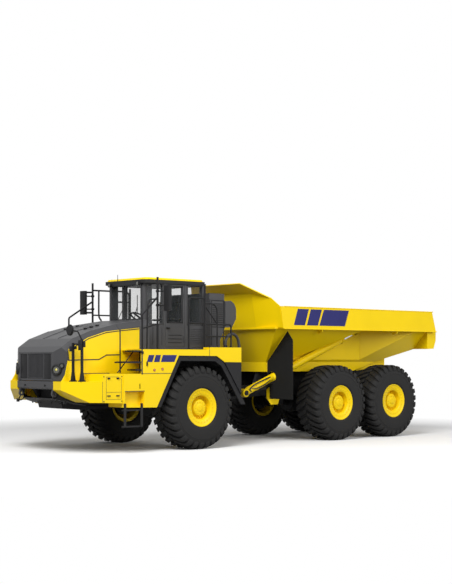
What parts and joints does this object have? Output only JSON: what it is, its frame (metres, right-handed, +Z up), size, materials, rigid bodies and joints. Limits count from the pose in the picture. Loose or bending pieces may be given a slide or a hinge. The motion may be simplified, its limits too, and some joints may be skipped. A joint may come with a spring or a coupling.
{
  "type": "articulated dump truck",
  "caption": "Off-road hauler that folds at a hitch behind its cab, with a long tipping load bed, big lugged tyres, twin hoist cylinders and a sloping hood.",
  "frame": {"origin": "on the ground, under the middle of the truck's length and width", "axes": "+X towards the front of the truck, +Y to its left, +Z up"},
  "size_m": [11.0061, 3.316, 3.628],
  "materials": {
    "yellow_paint": "gloss",
    "grey_paint": "satin",
    "black_paint": "satin",
    "tyre": "matt",
    "flap_rubber": "matt",
    "cab_glass": "clear",
    "lamp_lens": "clear",
    "tail_lens": "gloss",
    "seat_fabric": "matt",
    "dark_plastic": "matt",
    "chrome_rod": "polished"
  },
  "bodies": {
    "front_unit": {"front_frame": "black_paint", "front_axle": "black_paint", "engine_block": "black_paint", "bumper": "grey_paint", "nose_corners": "yellow_paint", "tool_boxes": "yellow_paint", "nose_posts": "black_paint", "deck_left": "yellow_paint", "deck_right": "yellow_paint", "arch_flares": "black_paint", "ladders": "black_paint", "engine_panels": "yellow_paint", "cowl": "grey_paint", "cab_shell": "grey_paint", "cab_glass": "cab_glass", "cab_roof": "yellow_paint", "cab_console": "dark_plastic", "driver_seat": "seat_fabric", "handrails": "black_paint", "mirrors": "black_paint", "cooler_box": "grey_paint", "intake_box": "grey_paint", "exhaust_box": "grey_paint"},
    "hood_lid": {"hood": "grey_paint", "hood_panels": "yellow_paint", "grille": "grey_paint", "headlamps": "lamp_lens"},
    "cab_door": {"cab_door": "grey_paint", "door_glass": "cab_glass"},
    "hitch": {"hitch": "black_paint"},
    "rear_unit": {"rear_frame": "black_paint", "centre_axle": "black_paint", "rear_axle": "black_paint", "bogie_beams": "black_paint", "mud_flaps": "flap_rubber", "flap_brackets": "yellow_paint", "tail_lamps": "tail_lens"},
    "dump_bed": {"dump_body": "yellow_paint"},
    "wheel_front_left": {"tyre_front_left": "tyre", "rim_front_left": "yellow_paint"},
    "wheel_front_right": {"tyre_front_right": "tyre", "rim_front_right": "yellow_paint"},
    "wheel_centre_left": {"tyre_centre_left": "tyre", "rim_centre_left": "yellow_paint"},
    "wheel_centre_right": {"tyre_centre_right": "tyre", "rim_centre_right": "yellow_paint"},
    "wheel_rear_left": {"tyre_rear_left": "tyre", "rim_rear_left": "yellow_paint"},
    "wheel_rear_right": {"tyre_rear_right": "tyre", "rim_rear_right": "yellow_paint"},
    "hoist_barrel_left": {"hoist_barrel_left": "yellow_paint"},
    "hoist_rod_left": {"hoist_rod_left": "chrome_rod"},
    "steer_barrel_left": {"steer_barrel_left": "black_paint"},
    "steer_rod_left": {"steer_rod_left": "chrome_rod"},
    "hoist_barrel_right": {"hoist_barrel_right": "yellow_paint"},
    "hoist_rod_right": {"hoist_rod_right": "chrome_rod"},
    "steer_barrel_right": {"steer_barrel_right": "black_paint"},
    "steer_rod_right": {"steer_rod_right": "chrome_rod"}
  },
  "joints": [
    {"name": "hood_tilt", "type": "hinge", "parent": "front_unit", "child": "hood_lid", "pos_m": [5.477, 0, 1.475], "axis": [0, 1, 0], "range_deg": [0, 60]},
    {"name": "door_swing", "type": "hinge", "parent": "front_unit", "child": "cab_door", "pos_m": [2.158, 0.726, 2.8], "axis": [0, 0, 1], "range_deg": [0, 75]},
    {"name": "steering", "type": "hinge", "parent": "front_unit", "child": "hitch", "pos_m": [1.082, 0, 1.1], "axis": [0, 0, 1], "range_deg": [-45, 45]},
    {"name": "oscillation", "type": "hinge", "parent": "hitch", "child": "rear_unit", "pos_m": [1.082, 0, 1.1], "axis": [1, 0, 0], "range_deg": [-10, 10]},
    {"name": "bed_tip", "type": "hinge", "parent": "rear_unit", "child": "dump_bed", "pos_m": [-4.338, 0, 1.83], "axis": [0, -1, 0], "range_deg": [0, 70]},
    {"name": "wheel_front_left_spin", "type": "hinge", "parent": "front_unit", "child": "wheel_front_left", "pos_m": [2.432, 1.31, 0.875], "axis": [0, 1, 0], "continuous": true},
    {"name": "wheel_front_right_spin", "type": "hinge", "parent": "front_unit", "child": "wheel_front_right", "pos_m": [2.432, -1.31, 0.875], "axis": [0, 1, 0], "continuous": true},
    {"name": "wheel_centre_left_spin", "type": "hinge", "parent": "rear_unit", "child": "wheel_centre_left", "pos_m": [-1.838, 1.31, 0.875], "axis": [0, 1, 0], "continuous": true},
    {"name": "wheel_centre_right_spin", "type": "hinge", "parent": "rear_unit", "child": "wheel_centre_right", "pos_m": [-1.838, -1.31, 0.875], "axis": [0, 1, 0], "continuous": true},
    {"name": "wheel_rear_left_spin", "type": "hinge", "parent": "rear_unit", "child": "wheel_rear_left", "pos_m": [-3.718, 1.31, 0.875], "axis": [0, 1, 0], "continuous": true},
    {"name": "wheel_rear_right_spin", "type": "hinge", "parent": "rear_unit", "child": "wheel_rear_right", "pos_m": [-3.718, -1.31, 0.875], "axis": [0, 1, 0], "continuous": true},
    {"name": "hoist_barrel_left_turn", "type": "hinge", "parent": "rear_unit", "child": "hoist_barrel_left", "pos_m": [0.589, 0.92, 1.133], "axis": [0, -1, 0], "range_deg": [-3, 1]},
    {"name": "hoist_rod_left_slide", "type": "slide", "parent": "hoist_barrel_left", "child": "hoist_rod_left", "axis": [-0.9341, 0, 0.3571], "range_m": [0, 1.7]},
    {"name": "steer_barrel_left_turn", "type": "hinge", "parent": "front_unit", "child": "steer_barrel_left", "pos_m": [1.782, 0.52, 1.1], "axis": [0, 0, 1], "range_deg": [-1, 7]},
    {"name": "steer_rod_left_slide", "type": "slide", "parent": "steer_barrel_left", "child": "steer_rod_left", "axis": [-0.9658, -0.2591, 0], "range_m": [-0.235, 0.235]},
    {"name": "hoist_barrel_right_turn", "type": "hinge", "parent": "rear_unit", "child": "hoist_barrel_right", "pos_m": [0.589, -0.92, 1.133], "axis": [0, -1, 0], "range_deg": [-3, 1]},
    {"name": "hoist_rod_right_slide", "type": "slide", "parent": "hoist_barrel_right", "child": "hoist_rod_right", "axis": [-0.9341, 0, 0.3571], "range_m": [0, 1.7]},
    {"name": "steer_barrel_right_turn", "type": "hinge", "parent": "front_unit", "child": "steer_barrel_right", "pos_m": [1.782, -0.52, 1.1], "axis": [0, 0, 1], "range_deg": [-7, 1]},
    {"name": "steer_rod_right_slide", "type": "slide", "parent": "steer_barrel_right", "child": "steer_rod_right", "axis": [-0.9658, 0.2591, 0], "range_m": [-0.235, 0.235]}
  ],
  "couplings": [
    {"joint": "hoist_barrel_left_turn", "follows": "bed_tip", "ratio": -0.02829},
    {"joint": "hoist_rod_left_slide", "follows": "bed_tip", "m_per_rad": 1.3835},
    {"joint": "steer_rod_left_slide", "follows": "steering", "m_per_rad": 0.2909},
    {"joint": "hoist_barrel_right_turn", "follows": "bed_tip", "ratio": -0.02829},
    {"joint": "hoist_rod_right_slide", "follows": "bed_tip", "m_per_rad": 1.3835},
    {"joint": "steer_rod_right_slide", "follows": "steering", "m_per_rad": -0.2909}
  ]
}
